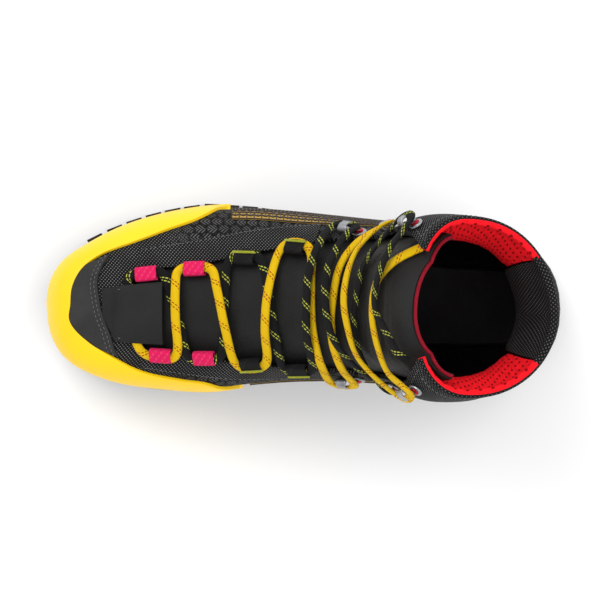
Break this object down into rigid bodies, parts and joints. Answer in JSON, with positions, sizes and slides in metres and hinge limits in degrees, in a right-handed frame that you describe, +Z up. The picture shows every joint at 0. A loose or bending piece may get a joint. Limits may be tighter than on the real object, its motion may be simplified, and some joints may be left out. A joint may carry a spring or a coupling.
{
  "type": "mountaineering boot",
  "caption": "Stiff lace-up mountaineering boot for the right foot: lugged sole with a heel ledge for crampons, rubber toe rand, flexing ankle and padded collar.",
  "frame": {"origin": "middle of the heel tread, on the ground", "axes": "+X from the heel to the toe, +Y to the inner side of the right foot, +Z up"},
  "size_m": [0.297, 0.1102, 0.1903],
  "materials": {
    "rubber": "black lugged rubber",
    "foam": "dense dark polyurethane foam",
    "wedge": "moulded dark thermoplastic",
    "board": "stiff lasting board",
    "footbed": "grey felt on foam",
    "rand": "bright yellow rubber rand",
    "cap": "smooth charcoal rubber",
    "upper_fabric": "black woven fabric with pale dots",
    "lattice": "dark brown lattice film over yellow",
    "smooth_panel": "smooth black microfibre",
    "stiffener": "thermoformed stiffener",
    "lining": "red perforated mesh",
    "rear_lining": "black dotted mesh",
    "piping": "crimson edge binding",
    "webbing": "pink webbing",
    "dark_webbing": "black webbing with a yellow stitch line",
    "yellow_lace": "yellow lace with dark flecks",
    "black_lace": "black lace with yellow flecks",
    "hook_metal": "grey metal lace hook",
    "rivet_metal": "red anodised rivet"
  },
  "bodies": {
    "lower": {"outsole_forefoot": "rubber", "outsole_heel": "rubber", "midsole": "foam", "crampon_shelf": "wedge", "rear_rand": "rubber", "lasting_board": "board", "footbed": "footbed", "toe_rand": "rand", "toe_cap": "cap", "toe_box": "upper_fabric", "quarter_lateral": "upper_fabric", "quarter_medial": "upper_fabric", "ankle_panel_lateral": "upper_fabric", "ankle_panel_medial": "upper_fabric", "lattice_lateral": "lattice", "lattice_medial": "lattice", "facing_lateral": "smooth_panel", "facing_medial": "smooth_panel", "lace_cover": "smooth_panel", "tongue_lower": "smooth_panel", "tongue_ankle": "smooth_panel", "toe_puff": "stiffener", "heel_stiffener": "stiffener", "foot_lining": "rear_lining", "lace_loop_lateral_1": "webbing", "lace_loop_lateral_2": "webbing", "lace_loop_lateral_3": "dark_webbing", "lace_loop_lateral_4": "dark_webbing", "lace_hook_lateral_1": "hook_metal", "hook_rivet_lateral_1": "rivet_metal", "lace_loop_medial_1": "webbing", "lace_loop_medial_2": "webbing", "lace_loop_medial_3": "dark_webbing", "lace_loop_medial_4": "dark_webbing", "lace_hook_medial_1": "hook_metal", "hook_rivet_medial_1": "rivet_metal", "lace_yellow_lower": "yellow_lace", "lace_black_lower": "black_lace", "lace_yellow_ankle": "yellow_lace", "lace_black_ankle": "black_lace"},
    "cuff": {"cuff_shell_lateral": "upper_fabric", "cuff_shell_medial": "upper_fabric", "collar_pad_lateral": "lining", "collar_pad_rear": "rear_lining", "collar_pad_medial": "lining", "collar_binding": "piping", "tongue_upper": "smooth_panel", "lace_yellow_upper": "yellow_lace", "lace_black_upper": "black_lace", "lace_hook_lateral_2": "hook_metal", "hook_rivet_lateral_2": "rivet_metal", "lace_hook_lateral_3": "hook_metal", "hook_rivet_lateral_3": "rivet_metal", "lace_hook_medial_2": "hook_metal", "hook_rivet_medial_2": "rivet_metal", "lace_hook_medial_3": "hook_metal", "hook_rivet_medial_3": "rivet_metal"},
    "tongue_top": {"tongue_flap": "smooth_panel", "tongue_piping": "piping"}
  },
  "joints": [
    {"name": "ankle_flex", "type": "hinge", "parent": "lower", "child": "cuff", "pos_m": [0.03, 0, 0.095], "axis": [0, 1, 0], "range_deg": [-8, 15], "stiffness_Nm_per_rad": 8, "deforming": ["ankle_panel_lateral", "ankle_panel_medial", "tongue_ankle", "lace_yellow_ankle", "lace_black_ankle"]},
    {"name": "tongue_bend", "type": "hinge", "parent": "cuff", "child": "tongue_top", "pos_m": [0.0675, 0, 0.1745], "axis": [0, 1, 0], "range_deg": [-15, 0], "stiffness_Nm_per_rad": 0.3}
  ]
}
